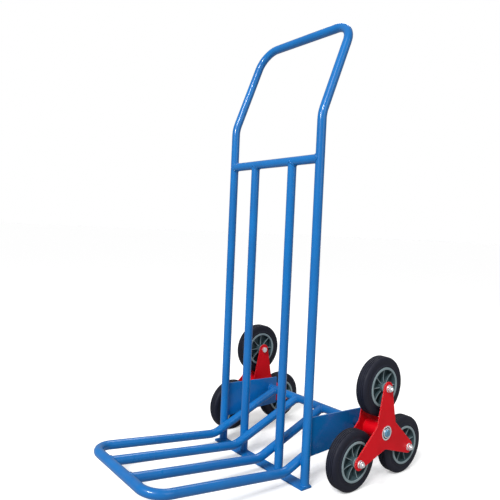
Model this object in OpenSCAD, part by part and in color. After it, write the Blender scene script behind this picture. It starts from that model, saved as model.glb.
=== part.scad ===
// Stair-climbing hand truck: a welded tube frame with a toe rack, on two three-wheeled star clusters.
// Origin: on the ground, midway between the uprights, under the foot bar.
// +X to the right seen from the load side, +Y back towards the wheels, +Z up along the uprights.

/* [Frame tube] */
// Outside diameter of every frame tube
tube_d = 25; // [20:1:30]
// Wall thickness of every frame tube
tube_wall = 1.5; // [1:0.5:3]
// Gap left for the weld where two frame pieces meet side to side
weld_gap = 0.05; // [0.05:0.05:0.3]

/* [Uprights and handle] */
// Distance between the outer uprights, centre to centre
frame_w = 376; // [330:1:460]
// Distance between the inner uprights, centre to centre
inner_w = 162; // [140:1:200]
// Height of the crossbar's centreline
crossbar_h = 883; // [700:1:940]
// Height at which the uprights turn back to the handle
kink_h = 1002; // [960:1:1200]
// Angle of the handle's legs from the vertical
lean = 21.7; // [10:0.1:35]
// Centreline radius of the turn under the handle
kink_r = 90; // [60:1:150]
// Height of the handle bar's centreline
handle_h = 1266; // [1180:1:1540]
// Centreline radius of the handle's corners
handle_r = 60; // [40:1:90]

/* [Foot bar] */
// Thickness of the flat bar under the uprights
foot_t = 6; // [3:1:8]
// Distance the foot bar stands out in front of the uprights
foot_front = 11.5; // [4:0.5:40]
// Distance the foot bar stands out behind the uprights
foot_back = 0.5; // [0:0.5:8]
// Distance the foot bar stands out past the outer uprights
foot_lip = 1.5; // [0:0.5:6]

/* [Toe rack] */
// Distance of the toe rack's front bar ahead of the uprights
toe_len = 453; // [300:1:520]
// Height of the front bar's centreline
toe_tip_h = 88; // [60:1:120]
// Centreline radius of the toe rack's front corners
toe_r = 52; // [40:1:70]
// Distance ahead of the uprights where the toe tubes turn up to the axle
knee_y = 54; // [30:1:90]
// Height of that turn
knee_h = 42; // [30:1:60]
// Centreline radius of that turn
knee_r = 75; // [50:1:100]

/* [Axle] */
// Distance of the axle behind the uprights
axle_y = 196; // [180:1:260]
// Diameter of the axle rod
axle_d = 20; // [16:1:20]
// Distance from an outer upright's centreline to the middle of its star cluster
star_reach = 78.5; // [67:0.5:140]
// Radial clearance of the axle in the tube that it passes through
axle_fit = 1; // [0.5:0.5:3]
// Length of axle that stands out past its split pin
axle_past = 1.5; // [1:0.5:24]
// Thickness of the side plates that carry the axle
side_t = 5; // [3:1:8]
// Height of the side plates at their front edge
side_front_h = 107; // [80:1:130]
// Height of the side plates at their rear edge
side_back_h = 90; // [60:1:110]
// Distance of the side plates' middle below the axle
side_drop = 10.5; // [0:0.5:14]
// Distance the side plates reach past the axle
side_past = 24; // [15:1:30]
// Outside diameter of the sleeve between side plate and star
sleeve_d = 26; // [25:1:36]

/* [Star clusters] */
// Distance from the axle to each wheel's bolt
arm_r = 123.5; // [110:0.5:150]
// Radius of a star arm's round end
arm_tip_r = 18; // [15:0.5:24]
// Distance from the axle to the notch between two arms
notch_r = 46; // [38:1:54]
// Thickness of the star plates
star_t = 3; // [2:0.5:6]
// Clear distance between the two star plates of a cluster
star_gap = 60; // [54:1:80]
// Outside diameter of the cluster's hub tube
hub_d = 42; // [36:1:50]
// Inside diameter of the cluster's hub tube
hub_bore = 34; // [30:1:38]
// Length of each bush in the hub tube
bush_l = 18; // [10:1:24]

/* [Wheels] */
// Distance the wheels stand outboard of the cluster's middle
wheel_shift = 0.5; // [0:0.5:2]
// Outside diameter of the tyre
tyre_d = 165; // [140:1:172]
// Width of the tyre
tyre_w = 35; // [30:1:40]
// Radius of the tyre's shoulders
tyre_shoulder = 12; // [6:1:14]
// Height of the tyre's bead above the rim
bead_h = 5; // [3:0.5:8]
// Distance the bead stops short of each face of the rim's ring
bead_inset = 0.5; // [0:0.5:3]
// Number of grooves round the tread
groove_n = 4; // [2:1:6]
// Width of each tread groove
groove_w = 1.6; // [1:0.2:2.4]
// Depth of each tread groove
groove_deep = 1.2; // [0.8:0.2:2]
// Outside diameter of the rim
rim_d = 110; // [96:1:120]
// Thickness of the rim's outer ring
rim_ring = 6.5; // [4:0.5:9]
// Width of the rim's outer ring
rim_w = 40; // [30:1:42]
// Number of ribs on each face of the rim
rib_n = 8; // [6:1:16]
// Thickness of a rib
rib_t = 2.4; // [1.6:0.2:4]
// Turn of the front wheels' ribs at rest from the line of their arm
front_rib_turn = -14; // [-22:1:22]
// Thickness of the rim's web
web_t = 4; // [3:0.5:8]
// Diameter of the rim's hub
rim_hub_d = 28; // [24:1:34]
// Length of the rim's hub and of the bush in it
rim_hub_l = 47; // [42:1:48]
// Distance the ribs stop short of each face of the rim's ring
rib_inset = 4; // [0:0.5:10]
// Wall thickness of the bush in a wheel's hub
bush_wall = 3; // [2:0.5:4]

/* [Fasteners] */
// Diameter of the wheel bolts
bolt_d = 10; // [8:1:12]
// Width across the flats of the bolt heads and nuts
bolt_af = 17; // [15:1:20]
// Height of a bolt head
head_h = 6.5; // [5:0.5:9]
// Height of a nut
nut_h = 9; // [7:0.5:14]
// Length of bolt that stands out past its nut
bolt_past = 3; // [1:0.5:8]
// Outside diameter of a bolt washer
washer_d = 21; // [19:1:28]
// Thickness of a bolt washer
washer_t = 2; // [1.5:0.5:3]
// Outside diameter of the axle's washer
axle_washer_d = 40; // [34:1:44]
// Thickness of the axle's washer
axle_washer_t = 3; // [2:0.5:4]
// Diameter of the split pin through the axle
split_pin_d = 2; // [2:0.5:5]
// Radial clearance of a wheel or star on its shaft
running_fit = 0.05; // [0.02:0.01:0.1]
// Clearance between faces that turn past each other
side_play = 0.4; // [0.3:0.1:1]

/* [Hidden] */
$fn = 64;
tube_r = tube_d / 2;
tube_bore_r = tube_r - tube_wall;
axle_bore_r = axle_d / 2 + axle_fit;
axle_tube_r = max(tube_r, axle_bore_r + tube_wall);
bend_thinning = 0.1;
lap = 0.5;
cut = 1;
upright_x = frame_w / 2;
inner_x = inner_w / 2;
toe_x = upright_x - tube_d - weld_gap;
toe_bar_x = inner_x - tube_d - weld_gap;
lean_len = (handle_h - kink_h) / cos(lean);

// The lower two wheels stand on the ground with one arm straight up.
axle_h = tyre_d / 2 + arm_r * cos(60);
strut_angle = atan2(axle_h - knee_h, axle_y + knee_y);
strut_len = norm([axle_y + knee_y, axle_h - knee_h]);
toe_angle = atan2(toe_tip_h - knee_h, toe_len - knee_y);
toe_leg_len = norm([toe_len - knee_y, toe_tip_h - knee_h]);

side_in_x = upright_x - side_t / 2;
side_out_x = upright_x + side_t / 2;
star_x = upright_x + star_reach;
star_in_x = star_x - star_gap / 2;
star_out_x = star_x + star_gap / 2;
wheel_x = star_x + wheel_shift;
cluster_in_x = star_in_x - star_t;
cluster_out_x = star_out_x + star_t;
spacer_in_l = (star_gap - rim_hub_l) / 2 + wheel_shift - side_play;
spacer_out_l = (star_gap - rim_hub_l) / 2 - wheel_shift - side_play;
bush_d = bolt_d + 2 * running_fit + 2 * bush_wall;
arm_angles = [0, 120, -120];

// The split pin stands just clear of the axle's washer: an eye above the axle and two legs opened below it.
pin_x = cluster_out_x + side_play + axle_washer_t + side_play + split_pin_d / 2;
pin_wire_d = split_pin_d / 2;
pin_eye_r = split_pin_d * 0.75;
pin_leg_l = split_pin_d * 1.6;
pin_leg_angle = 125;
pin_above = axle_d / 2 + 1;
pin_below = axle_d / 2 + 1.5;
axle_end_x = pin_x + split_pin_d / 2 + axle_past;

// ---- Shared shapes ----

// Tube along +Z from z0 to z1
module ring(outer_r, inner_r, z0, z1) {
    translate([0, 0, z0]) difference() {
        cylinder(h = z1 - z0, r = outer_r);
        translate([0, 0, -cut]) cylinder(h = z1 - z0 + 2 * cut, r = inner_r);
    }
}

// Straight stretch of frame tube along +Z; its children go on from the far end.
module leg(len) {
    ring(tube_r, tube_bore_r, 0, len);
    translate([0, 0, len]) children();
}

// Bend of frame tube from +Z towards +X; its children go on from the far end.
// Its wall is a hair thinner than a leg's, and it laps into the legs at both ends.
module bend(angle, r) {
    lap_angle = lap / r * 180 / PI;
    translate([r, 0, 0]) {
        rotate([90, 0, 0])
            rotate_extrude(angle = -angle - 2 * lap_angle, start = 180 + lap_angle) translate([r, 0])
                difference() {
                    circle(r = tube_r - bend_thinning);
                    circle(r = tube_bore_r + bend_thinning);
                }
        rotate([0, angle, 0]) translate([-r, 0, 0]) children();
    }
}

// Places children at the axle's centreline with their +Z along the truck's +X.
module on_axle(x = 0) {
    translate([x, axle_y, axle_h]) rotate([0, 90, 0]) children();
}

// Solid rod along X that clears a tube of radius r, used to cope the tubes that meet it
module cope_x(y, z, r = tube_r) {
    translate([-frame_w, y, z]) rotate([0, 90, 0]) cylinder(h = 2 * frame_w, r = r + weld_gap);
}

// Mirrors the right-hand pieces to the left: side is 1 or -1.
module on_side(side) {
    if (side > 0) children();
    else mirror([1, 0, 0]) children();
}

// ---- Welded frame ----

// Right side of the bow: upright, turn, handle leg and corner; children go on along the handle bar.
module bow_side() {
    set_back = kink_r * tan(lean / 2);
    translate([upright_x, 0, foot_t]) rotate([0, 0, 90])
        leg(kink_h - foot_t - set_back) bend(lean, kink_r) rotate([0, 0, 90])
        leg(lean_len - set_back - handle_r) bend(90, handle_r) children();
}

module main_tube() {
    color("steelblue") {
        bow_side() leg(2 * (upright_x - handle_r));
        mirror([1, 0, 0]) bow_side();
    }
}

module upper_crossbar() {
    color("steelblue") difference() {
        translate([-upright_x, 0, crossbar_h]) rotate([0, 90, 0]) ring(tube_r, tube_bore_r, 0, frame_w);
        for (x = [-upright_x, upright_x])
            translate([x, 0, crossbar_h - tube_d]) cylinder(h = 2 * tube_d, r = tube_r + weld_gap);
    }
}

module inner_upright(side) {
    color("steelblue") difference() {
        translate([side * inner_x, 0, 0]) ring(tube_r, tube_bore_r, foot_t, crossbar_h);
        cope_x(0, crossbar_h);
    }
}

module foot_bar() {
    half_len = upright_x + tube_r + foot_lip;
    front_y = tube_r + foot_front;
    depth = front_y + tube_r + foot_back;
    color("steelblue") translate([-half_len, -front_y, 0]) cube([2 * half_len, depth, foot_t]);
}

// Places children at the axle with +Z down the strut and +X up, the way the knee turns.
module from_axle(x) {
    translate([x, axle_y, axle_h]) rotate([90 + strut_angle, 0, 0]) rotate([0, 0, 90]) children();
}

// Toe tube from the axle down the strut, round the knee and forward; children go on at its front.
module toe_run(front_len) {
    turn = strut_angle + toe_angle;
    set_back = knee_r * tan(turn / 2);
    leg(strut_len - set_back) bend(turn, knee_r) leg(front_len - set_back) children();
}

// Right side of the toe loop and its corner; children go on along the front bar.
module toe_side() {
    from_axle(toe_x) toe_run(toe_leg_len - toe_r) rotate([0, 0, 90]) bend(90, toe_r) children();
}

module toe_loop() {
    color("steelblue") difference() {
        union() {
            toe_side() leg(2 * (toe_x - toe_r));
            mirror([1, 0, 0]) toe_side();
        }
        cope_x(axle_y, axle_h, axle_tube_r);
    }
}

module toe_bar(side) {
    color("steelblue") difference() {
        from_axle(side * toe_bar_x) toe_run(toe_leg_len);
        cope_x(axle_y, axle_h, axle_tube_r);
        cope_x(-toe_len, toe_tip_h);
    }
}

module axle_tube() {
    half_len = side_in_x - weld_gap;
    color("steelblue") on_axle(-half_len) ring(axle_tube_r, axle_bore_r, 0, 2 * half_len);
}

// Upright plate from the back of the outer upright to the axle
module side_plate(side) {
    front_y = tube_r + weld_gap;
    back_y = axle_y + side_past;
    mid_h = axle_h - side_drop;
    outline = [
        [front_y, mid_h - side_front_h / 2], [back_y, mid_h - side_back_h / 2],
        [back_y, mid_h + side_back_h / 2], [front_y, mid_h + side_front_h / 2]
    ];
    color("royalblue") on_side(side) difference() {
        translate([side_in_x, 0, 0]) rotate([90, 0, 90]) linear_extrude(side_t) polygon(outline);
        on_axle(side_in_x - cut) cylinder(h = side_t + 2 * cut, r = axle_d / 2 + weld_gap);
    }
}

// ---- Axle and what holds the stars on it ----

module axle() {
    color("dodgerblue") difference() {
        on_axle(-axle_end_x) cylinder(h = 2 * axle_end_x, d = axle_d);
        for (x = [-pin_x, pin_x])
            translate([x, axle_y, axle_h - axle_d])
                cylinder(h = 2 * axle_d, r = split_pin_d / 2 + running_fit);
    }
}

module axle_sleeve(side) {
    color("steelblue") on_side(side) on_axle(side_out_x)
        ring(sleeve_d / 2, axle_d / 2 + weld_gap, weld_gap, cluster_in_x - side_out_x - side_play);
}

module axle_washer(side) {
    color("silver") on_side(side) on_axle(cluster_out_x + side_play)
        ring(axle_washer_d / 2, axle_d / 2 + 2 * running_fit, 0, axle_washer_t);
}

module split_pin(side) {
    color("silver") on_side(side) translate([pin_x, axle_y, axle_h]) {
        translate([0, 0, -pin_below]) cylinder(h = pin_below + pin_above, d = split_pin_d);
        translate([0, 0, pin_above + pin_eye_r]) rotate([0, 90, 0])
            rotate_extrude() translate([pin_eye_r, 0]) circle(d = pin_wire_d);
        for (turn = [-1, 1]) translate([0, 0, -pin_below]) rotate([turn * pin_leg_angle, 0, 0])
            cylinder(h = pin_leg_l, d = pin_wire_d);
    }
}

// ---- Star cluster ----

// Outline of a star with one arm along +Y: a round tip on each arm, then the notch before the next arm.
// An arm's sides run straight from the notches and touch the tip's circle.
module star_outline() {
    tip_steps = 24;
    notch = notch_r * [-sin(60), cos(60)];
    down = [notch[0], arm_r - notch[1]];
    touch = acos(arm_tip_r / norm(down)) - atan2(down[1], -down[0]);
    polygon([
        for (turn = [0, 120, 240]) each concat(
            [for (i = [0 : tip_steps]) let (a = touch + (180 - 2 * touch) * i / tip_steps)
                rotated([arm_tip_r * cos(a), arm_r + arm_tip_r * sin(a)], turn)],
            [rotated(notch, turn)]
        )
    ]);
}

function rotated(p, a) = [p[0] * cos(a) - p[1] * sin(a), p[0] * sin(a) + p[1] * cos(a)];

// Places children at the bolt of the arm at this angle, with their +Z along the truck's +X.
module at_arm(angle, x = 0) {
    translate([0, axle_y, axle_h]) rotate([-angle, 0, 0]) translate([x, 0, arm_r])
        rotate([0, 90, 0]) children();
}

module at_arms(x) {
    for (a = arm_angles) at_arm(a, x) children();
}

module star_plate(side, x) {
    color("crimson") on_side(side) difference() {
        translate([x, axle_y, axle_h]) rotate([90, 0, 90]) linear_extrude(star_t) star_outline();
        at_arms(x - cut) cylinder(h = star_t + 2 * cut, r = bolt_d / 2 + weld_gap);
        on_axle(x - cut) cylinder(h = star_t + 2 * cut, r = hub_bore / 2);
    }
}

module hub_tube(side) {
    color("firebrick") on_side(side) on_axle(star_in_x)
        ring(hub_d / 2, hub_bore / 2, weld_gap, star_gap - weld_gap);
}

module hub_bushes(side) {
    hub_l = cluster_out_x - cluster_in_x;
    color("dimgray") on_side(side) for (z = [0, hub_l - bush_l])
        on_axle(cluster_in_x) ring(hub_bore / 2, axle_d / 2 + running_fit, z, z + bush_l);
}

module hexagon(h) {
    cylinder(h = h, r = bolt_af / 2 / cos(30), $fn = 6);
}

module wheel_bolts(side) {
    shank = head_h + cluster_out_x - cluster_in_x + washer_t + nut_h + bolt_past;
    color("silver") on_side(side) at_arms(cluster_in_x - head_h) {
        hexagon(head_h);
        cylinder(h = shank, d = bolt_d);
    }
}

module wheel_nuts(side) {
    color("silver") on_side(side) at_arms(cluster_out_x + washer_t) difference() {
        hexagon(nut_h);
        translate([0, 0, -cut]) cylinder(h = nut_h + 2 * cut, d = bolt_d);
    }
}

module bolt_washers(side) {
    color("silver") on_side(side) at_arms(cluster_out_x)
        ring(washer_d / 2, bolt_d / 2 + weld_gap, 0, washer_t);
}

module wheel_spacers(side) {
    color("silver") on_side(side) {
        at_arms(star_in_x) ring(bush_d / 2, bolt_d / 2 + weld_gap, 0, spacer_in_l);
        at_arms(star_out_x - spacer_out_l) ring(bush_d / 2, bolt_d / 2 + weld_gap, 0, spacer_out_l);
    }
}

// ---- Wheels ----

module tyre_profile() {
    r = tyre_d / 2;
    pitch = tyre_w / (groove_n + 2);
    bead_w = rim_w - 2 * bead_inset;
    translate([rim_d / 2, -bead_w / 2]) square([bead_h, bead_w]);
    difference() {
        hull() {
            translate([rim_d / 2, -tyre_w / 2]) square([1, tyre_w]);
            for (z = [-1, 1])
                translate([r - tyre_shoulder, z * (tyre_w / 2 - tyre_shoulder)]) circle(r = tyre_shoulder);
        }
        for (i = [0 : groove_n - 1])
            translate([r - groove_deep, (i - (groove_n - 1) / 2) * pitch - groove_w / 2])
                square([groove_deep + cut, groove_w]);
    }
}

module tyre(side, angle) {
    color("dimgray") on_side(side) at_arm(angle, wheel_x) rotate_extrude($fn = 96) tyre_profile();
}

module rim(side, angle, rib_turn = 0) {
    ring_in = rim_d / 2 - rim_ring;
    hub_r = rim_hub_d / 2;
    rib_h = rim_w - 2 * rib_inset;
    color("slategray") on_side(side) at_arm(angle, wheel_x) {
        ring(rim_d / 2, ring_in, -rim_w / 2, rim_w / 2);
        ring(ring_in + lap, hub_r - lap, -web_t / 2, web_t / 2);
        ring(hub_r, bush_d / 2, -rim_hub_l / 2, rim_hub_l / 2);
        for (i = [0 : rib_n - 1]) rotate(i * 360 / rib_n + rib_turn)
            translate([hub_r - lap, -rib_t / 2, -rib_h / 2])
                cube([ring_in - hub_r + 2 * lap, rib_t, rib_h]);
    }
}

module wheel_bush(side, angle) {
    color("silver") on_side(side) at_arm(angle, wheel_x)
        ring(bush_d / 2, bolt_d / 2 + running_fit, -rim_hub_l / 2, rim_hub_l / 2);
}

main_tube();
upper_crossbar();
inner_upright(-1);  // inner_upright_left
inner_upright(1);  // inner_upright_right
foot_bar();
toe_loop();
toe_bar(-1);  // toe_bar_left
toe_bar(1);  // toe_bar_right
axle_tube();
side_plate(-1);  // side_plate_left
side_plate(1);  // side_plate_right
axle();
axle_sleeve(-1);  // axle_sleeve_left
axle_sleeve(1);  // axle_sleeve_right
axle_washer(-1);  // axle_washer_left
axle_washer(1);  // axle_washer_right
split_pin(-1);  // split_pin_left
split_pin(1);  // split_pin_right
star_plate(-1, star_out_x);  // star_outer_left
star_plate(-1, cluster_in_x);  // star_inner_left
hub_tube(-1);  // hub_tube_left
hub_bushes(-1);  // hub_bushes_left
wheel_bolts(-1);  // wheel_bolts_left
wheel_nuts(-1);  // wheel_nuts_left
bolt_washers(-1);  // bolt_washers_left
wheel_spacers(-1);  // wheel_spacers_left
star_plate(1, star_out_x);  // star_outer_right
star_plate(1, cluster_in_x);  // star_inner_right
hub_tube(1);  // hub_tube_right
hub_bushes(1);  // hub_bushes_right
wheel_bolts(1);  // wheel_bolts_right
wheel_nuts(1);  // wheel_nuts_right
bolt_washers(1);  // bolt_washers_right
wheel_spacers(1);  // wheel_spacers_right
tyre(-1, arm_angles[0]);  // tyre_left_top
rim(-1, arm_angles[0]);  // rim_left_top
wheel_bush(-1, arm_angles[0]);  // wheel_bush_left_top
tyre(-1, arm_angles[1]);  // tyre_left_rear
rim(-1, arm_angles[1]);  // rim_left_rear
wheel_bush(-1, arm_angles[1]);  // wheel_bush_left_rear
tyre(-1, arm_angles[2]);  // tyre_left_front
rim(-1, arm_angles[2], front_rib_turn);  // rim_left_front
wheel_bush(-1, arm_angles[2]);  // wheel_bush_left_front
tyre(1, arm_angles[0]);  // tyre_right_top
rim(1, arm_angles[0]);  // rim_right_top
wheel_bush(1, arm_angles[0]);  // wheel_bush_right_top
tyre(1, arm_angles[1]);  // tyre_right_rear
rim(1, arm_angles[1]);  // rim_right_rear
wheel_bush(1, arm_angles[1]);  // wheel_bush_right_rear
tyre(1, arm_angles[2]);  // tyre_right_front
rim(1, arm_angles[2], front_rib_turn);  // rim_right_front
wheel_bush(1, arm_angles[2]);  // wheel_bush_right_front
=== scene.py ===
"""Looks of the stair-climbing hand truck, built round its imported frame.

The welded frame, the star plates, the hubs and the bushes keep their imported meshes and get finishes. Tyres,
rims, bolts, nuts, washers, split pins and the axle are remodelled here in more detail, and the weld beads are
added. Everything is in metres in the truck's own frame: +X to the right, +Y back to the wheels, +Z up.
"""

import logging
import math
from collections.abc import Callable, Iterable, Sequence
from dataclasses import dataclass, field
from enum import Enum

import bmesh
import bpy
from mathutils import Matrix, Vector


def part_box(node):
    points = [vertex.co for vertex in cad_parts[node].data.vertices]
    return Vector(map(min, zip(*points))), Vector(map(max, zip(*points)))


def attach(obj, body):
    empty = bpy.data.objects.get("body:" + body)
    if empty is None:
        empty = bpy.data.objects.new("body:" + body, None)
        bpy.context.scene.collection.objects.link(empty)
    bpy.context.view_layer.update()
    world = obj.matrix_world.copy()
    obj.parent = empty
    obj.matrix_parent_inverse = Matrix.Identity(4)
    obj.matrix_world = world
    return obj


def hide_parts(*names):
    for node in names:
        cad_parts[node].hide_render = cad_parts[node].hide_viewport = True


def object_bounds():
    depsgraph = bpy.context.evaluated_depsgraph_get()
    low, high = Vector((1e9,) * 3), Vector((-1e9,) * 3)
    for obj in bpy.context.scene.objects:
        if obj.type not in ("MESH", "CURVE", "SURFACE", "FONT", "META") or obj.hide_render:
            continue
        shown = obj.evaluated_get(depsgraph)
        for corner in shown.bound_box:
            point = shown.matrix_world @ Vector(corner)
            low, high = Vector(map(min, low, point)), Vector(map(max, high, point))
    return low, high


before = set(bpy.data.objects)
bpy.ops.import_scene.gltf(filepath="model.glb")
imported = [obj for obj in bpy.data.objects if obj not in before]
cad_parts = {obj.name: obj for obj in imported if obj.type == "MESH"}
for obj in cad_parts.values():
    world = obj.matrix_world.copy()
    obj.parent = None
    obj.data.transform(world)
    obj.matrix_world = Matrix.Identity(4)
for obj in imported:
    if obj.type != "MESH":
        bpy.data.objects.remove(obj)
CAD_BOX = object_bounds()

LOG = logging.getLogger("hand_truck")
MM = 0.001

Colour = tuple[float, float, float]
Section = Sequence[tuple[float, float]]


# ---- Named options ----


class Side(Enum):
    """The truck's two sides, each with the sign of its X."""

    LEFT = -1
    RIGHT = 1

    @property
    def tag(self) -> str:
        """The side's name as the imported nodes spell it."""
        return self.name.lower()


class Arm(Enum):
    """The three arms of a star cluster, each with its turn from straight up in degrees."""

    TOP = 0
    REAR = 120
    FRONT = -120

    @property
    def tag(self) -> str:
        """The arm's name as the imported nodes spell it."""
        return self.name.lower()

    @property
    def wheel_turn(self) -> float:
        """How far this arm's wheels have rolled from the line of the arm, in degrees."""
        return -14.0 if self is Arm.FRONT else 0.0


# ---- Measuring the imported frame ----


def middle(node: str) -> Vector:
    """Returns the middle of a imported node's box."""
    low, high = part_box(node)
    return (low + high) / 2


def extent(node: str) -> Vector:
    """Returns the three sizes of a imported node's box."""
    low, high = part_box(node)
    return high - low


def circle(radius: float, count: int) -> list[tuple[float, float]]:
    """Returns evenly spaced points on a circle round the origin."""
    angles = [math.tau * k / count for k in range(count)]
    return [(radius * math.cos(angle), radius * math.sin(angle)) for angle in angles]


def outward(azimuth: float, elevation: float) -> Vector:
    """Returns the unit vector from the truck towards an azimuth and an elevation in degrees."""
    turn, rise = math.radians(azimuth), math.radians(elevation)
    flat = math.cos(rise)
    return Vector((math.sin(turn) * flat, -math.cos(turn) * flat, math.sin(rise)))


# ---- Mesh making ----


def shaded(mesh: bpy.types.Mesh, crease: float = 32.0) -> bpy.types.Mesh:
    """Shades a mesh smooth, but for edges that turn more sharply than the crease.

    Args:
        mesh: The mesh to shade.
        crease: Angle in degrees above which an edge stays sharp.

    Returns:
        The same mesh.
    """
    mesh.polygons.foreach_set("use_smooth", [True] * len(mesh.polygons))
    mesh.set_sharp_from_angle(angle=math.radians(crease))
    return mesh


def loft(name: str, rings: Sequence[Sequence[Vector]], closed: bool = False) -> bpy.types.Mesh:
    """Skins a row of rings that all have the same number of points.

    Args:
        name: Name for the mesh.
        rings: The rings, in order along the shape.
        closed: Whether the last ring joins back to the first; otherwise both ends get caps.

    Returns:
        The closed mesh, with its faces turned outwards.
    """
    build = bmesh.new()
    loops = [[build.verts.new(point) for point in ring] for ring in rings]
    pairs = list(zip(loops, loops[1:]))
    if closed:
        pairs.append((loops[-1], loops[0]))
    else:
        build.faces.new(loops[0])
        build.faces.new(loops[-1])
    count = len(loops[0])
    for here, there in pairs:
        for i in range(count):
            j = (i + 1) % count
            build.faces.new((here[i], here[j], there[j], there[i]))
    bmesh.ops.recalc_face_normals(build, faces=build.faces)
    mesh = bpy.data.meshes.new(name)
    build.to_mesh(mesh)
    build.free()
    return mesh


def rounded(section: Section, radius: float, steps: int = 3) -> list[tuple[float, float]]:
    """Rounds every corner of a closed section.

    Args:
        section: The corners, in order round the section.
        radius: Length cut back from each corner, limited to 45% of its shorter side.
        steps: Number of pieces in each rounded corner.

    Returns:
        The points of the rounded section.
    """
    points = [Vector(p) for p in section]
    result: list[tuple[float, float]] = []
    for i, corner in enumerate(points):
        before, after = points[i - 1] - corner, points[(i + 1) % len(points)] - corner
        cut = min(radius, 0.45 * before.length, 0.45 * after.length)
        start, end = corner + before.normalized() * cut, corner + after.normalized() * cut
        for k in range(steps + 1):
            t = k / steps
            point = start * (1 - t) ** 2 + corner * 2 * t * (1 - t) + end * t**2
            result.append((point.x, point.y))
    return result


def turned(name: str, section: Section, segments: int = 96) -> bpy.types.Mesh:
    """Turns a closed section of (along, radius) points round the X axis.

    Args:
        name: Name for the mesh.
        section: Points of the section; along runs on X.
        segments: Number of steps round the axis.

    Returns:
        The ring-shaped mesh.
    """
    rings = []
    for across, up in circle(1.0, segments):
        rings.append([Vector((along, r * across, r * up)) for along, r in section])
    return loft(name, rings, closed=True)


def rod(
    name: str,
    stations: Sequence[tuple[float, float | None]],
    radius_at: Callable[[float, float | None, float], float],
    segments: int = 72,
) -> bpy.types.Mesh:
    """Skins a solid rod on the X axis whose radius may change round it, such as a bolt.

    Args:
        name: Name for the mesh.
        stations: Places along X, each with the plain radius there, or None.
        radius_at: Gives the real radius from the place along X, the plain radius and the angle.
        segments: Number of steps round the axis.

    Returns:
        The solid mesh.
    """
    rings = []
    for along, radius in stations:
        ring = []
        for k in range(segments):
            angle = math.tau * k / segments
            r = radius_at(along, radius, angle)
            ring.append(Vector((along, r * math.cos(angle), r * math.sin(angle))))
        rings.append(ring)
    return loft(name, rings)


def swept(
    name: str, path: Sequence[Vector], radii: Sequence[float], closed: bool, sides: int = 10
) -> bpy.types.Mesh:
    """Sweeps a round section along a path.

    Args:
        name: Name for the mesh.
        path: Points of the centreline.
        radii: The section's radius at each point.
        closed: Whether the path joins back to its start.
        sides: Number of points in the section.

    Returns:
        The tube-shaped mesh.
    """
    count = len(path)
    rings = []
    # Any start will do that isn't along the path; each ring then carries on from the one before.
    normal = Vector((0.31, 0.52, 0.79))
    for i, point in enumerate(path):
        ahead = path[(i + 1) % count] if closed or i < count - 1 else point
        behind = path[i - 1] if closed or i > 0 else point
        tangent = (ahead - behind).normalized()
        normal = (normal - tangent * normal.dot(tangent)).normalized()
        side = tangent.cross(normal)
        rings.append([point + (normal * a + side * b) * radii[i] for a, b in circle(1.0, sides)])
    if closed:
        rings = untwisted(rings)
    return loft(name, rings, closed)


def untwisted(rings: list[list[Vector]]) -> list[list[Vector]]:
    """Turns the last rings of a closed sweep a little at a time, so that its end meets its start squarely.

    Args:
        rings: The rings of a closed sweep, without the repeated first one.

    Returns:
        The rings, their points in step with each other at the seam.
    """
    first, last = rings[0], rings[-1]
    count = len(first)
    shift = min(range(count), key=lambda s: (last[s] - first[0]).length)
    if shift == 0:
        return rings
    result = []
    for i, ring in enumerate(rings):
        step = round(shift * i / len(rings))
        result.append([ring[(k + step) % count] for k in range(count)])
    return result


def gathered(name: str, mesh: bpy.types.Mesh, places: Iterable[Matrix]) -> bpy.types.Mesh:
    """Copies a mesh to several places within one new mesh.

    Args:
        name: Name for the new mesh.
        mesh: The mesh to copy.
        places: Where each copy goes.

    Returns:
        The new mesh.
    """
    build = bmesh.new()
    for place in places:
        part = mesh.copy()
        part.transform(place)
        build.from_mesh(part)
        bpy.data.meshes.remove(part)
    bmesh.ops.recalc_face_normals(build, faces=build.faces)
    result = bpy.data.meshes.new(name)
    build.to_mesh(result)
    build.free()
    return result


@dataclass(frozen=True)
class Piece:
    """What a new piece is called, what it rides on, what it stands for and how it is finished."""

    name: str
    body: str
    slot: str
    finishes: tuple[bpy.types.Material, ...]
    stands_for: tuple[str, ...] = ()

    def place(self, mesh: bpy.types.Mesh, at: Matrix | None = None) -> bpy.types.Object:
        """Makes the piece from its mesh and joins it to its body.

        Args:
            mesh: The piece's mesh.
            at: Where the mesh goes in the truck's frame; as it is when left out.

        Returns:
            The new object.
        """
        piece = bpy.data.objects.new(self.name, mesh)
        bpy.context.scene.collection.objects.link(piece)
        if at is not None:
            piece.matrix_world = at
        if not mesh.materials:
            for finish in self.finishes:
                mesh.materials.append(finish)
        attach(piece, self.body)
        if self.stands_for:
            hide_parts(*self.stands_for)
        LOG.info("%s: %d faces, rides on %s", self.name, len(mesh.polygons), self.body)
        return piece


# ---- Shader graphs ----


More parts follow.
